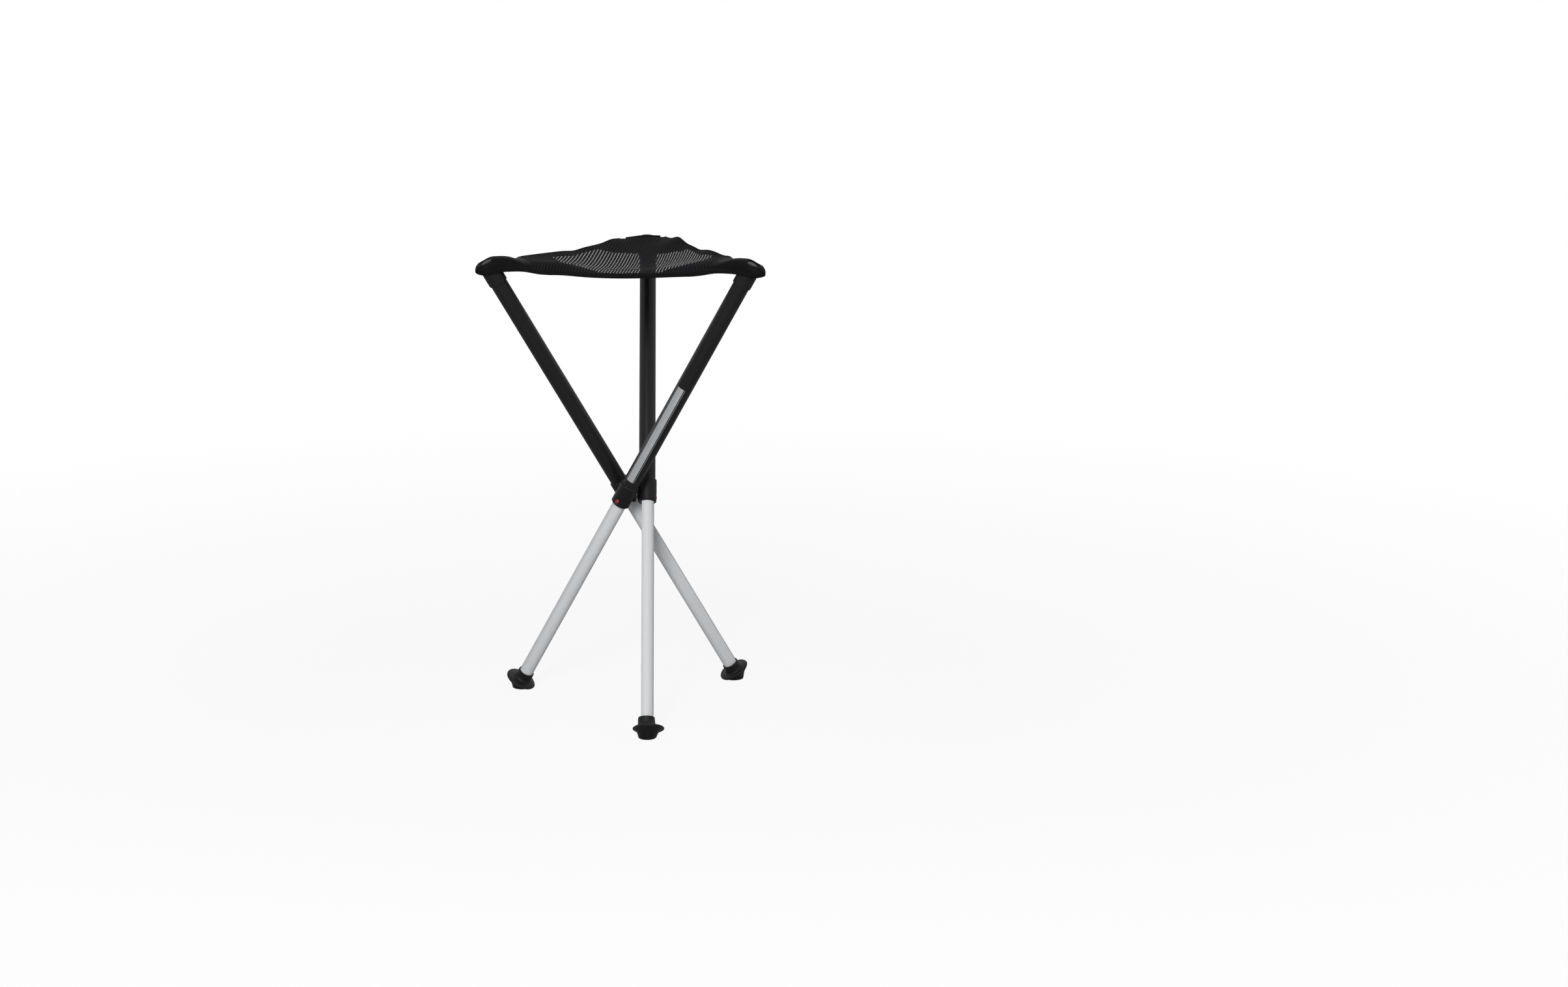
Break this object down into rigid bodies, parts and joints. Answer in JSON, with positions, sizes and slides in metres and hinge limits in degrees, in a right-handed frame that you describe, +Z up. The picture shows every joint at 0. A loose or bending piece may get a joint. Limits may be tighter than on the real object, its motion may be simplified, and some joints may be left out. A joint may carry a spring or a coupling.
{
  "type": "telescopic folding tripod stool",
  "caption": "Folding tripod stool with a triangular mesh seat, crossed black legs on a central hinge hub, telescopic bright lower tubes with release buttons, and rubber feet.",
  "frame": {"origin": "on the floor, on the stool's upright centre line through the hinge hub", "axes": "+Z up; +X from the centre line through the hinge of leg B; the picture is seen along +Y"},
  "size_m": [0.4534, 0.4882, 0.7502],
  "materials": {
    "black_tube": "black anodised, satin",
    "bright_tube": "clear anodised, satin",
    "black_plastic": "fine moulded texture",
    "steel": "plain",
    "rivet": "soft gloss black",
    "washer": "natural nylon",
    "foot_rubber": "smooth moulded",
    "red_button": "red",
    "corner_cloth": "close woven",
    "edge_tape": "ribbed tape",
    "net": "open knit",
    "hub_metal": "black anodised, satin"
  },
  "bodies": {
    "hub": {"hub_block": "hub_metal", "hinge_pin_a": "steel", "hinge_pin_b": "steel", "hinge_pin_c": "steel", "thrust_washer_a": "washer", "thrust_washer_b": "washer", "thrust_washer_c": "washer", "seat_mesh": "net", "edge_binding_front": "edge_tape", "edge_binding_right": "edge_tape", "edge_binding_left": "edge_tape", "corner_patch_a": "corner_cloth", "corner_patch_b": "corner_cloth", "corner_patch_c": "corner_cloth"},
    "leg_a": {"upper_tube_a": "black_tube", "hinge_collar_a": "black_plastic", "top_cap_a": "black_plastic", "seat_rivet_a": "rivet", "corner_pocket_a": "corner_cloth"},
    "leg_b": {"upper_tube_b": "black_tube", "hinge_collar_b": "black_plastic", "top_cap_b": "black_plastic", "seat_rivet_b": "rivet", "corner_pocket_b": "corner_cloth"},
    "leg_c": {"upper_tube_c": "black_tube", "hinge_collar_c": "black_plastic", "top_cap_c": "black_plastic", "seat_rivet_c": "rivet", "corner_pocket_c": "corner_cloth"},
    "lower_leg_a": {"lower_tube_a": "bright_tube", "guide_bush_a": "black_plastic", "rubber_foot_a": "foot_rubber", "latch_spring_a": "steel"},
    "lower_leg_b": {"lower_tube_b": "bright_tube", "guide_bush_b": "black_plastic", "rubber_foot_b": "foot_rubber", "latch_spring_b": "steel"},
    "lower_leg_c": {"lower_tube_c": "bright_tube", "guide_bush_c": "black_plastic", "rubber_foot_c": "foot_rubber", "latch_spring_c": "steel"},
    "button_a": {"release_button_a": "red_button"},
    "button_b": {"release_button_b": "red_button"},
    "button_c": {"release_button_c": "red_button"}
  },
  "joints": [
    {"name": "fold_a", "type": "hinge", "parent": "hub", "child": "leg_a", "pos_m": [-0.0123, -0.0213, 0.352], "axis": [-0.5, -0.866, 0], "range_deg": [0, 31.58], "deforming": ["seat_mesh", "edge_binding_front", "edge_binding_right", "edge_binding_left", "corner_patch_a", "corner_patch_b", "corner_patch_c"]},
    {"name": "fold_b", "type": "hinge", "parent": "hub", "child": "leg_b", "pos_m": [0.0246, 0, 0.352], "axis": [1, 0, 0], "range_deg": [0, 31.58]},
    {"name": "fold_c", "type": "hinge", "parent": "hub", "child": "leg_c", "pos_m": [-0.0123, 0.0213, 0.352], "axis": [-0.5, 0.866, 0], "range_deg": [0, 31.58]},
    {"name": "telescope_a", "type": "slide", "parent": "leg_a", "child": "lower_leg_a", "axis": [0.4535, -0.2618, 0.8519], "range_m": [0, 0.345], "deforming": ["latch_spring_a"]},
    {"name": "telescope_b", "type": "slide", "parent": "leg_b", "child": "lower_leg_b", "axis": [0, 0.5237, 0.8519], "range_m": [0, 0.345], "deforming": ["latch_spring_b"]},
    {"name": "telescope_c", "type": "slide", "parent": "leg_c", "child": "lower_leg_c", "axis": [-0.4535, -0.2618, 0.8519], "range_m": [0, 0.345], "deforming": ["latch_spring_c"]},
    {"name": "press_a", "type": "slide", "parent": "leg_a", "child": "button_a", "axis": [0.5, 0.866, 0], "range_m": [0, 0.0011], "stiffness_N_per_m": 1500, "deforming": ["latch_spring_a"]},
    {"name": "press_b", "type": "slide", "parent": "leg_b", "child": "button_b", "axis": [-1, 0, 0], "range_m": [0, 0.0011], "stiffness_N_per_m": 1500, "deforming": ["latch_spring_b"]},
    {"name": "press_c", "type": "slide", "parent": "leg_c", "child": "button_c", "axis": [0.5, -0.866, 0], "range_m": [0, 0.0011], "stiffness_N_per_m": 1500, "deforming": ["latch_spring_c"]}
  ],
  "couplings": [
    {"joint": "fold_b", "follows": "fold_a", "ratio": 1},
    {"joint": "fold_c", "follows": "fold_a", "ratio": 1}
  ]
}
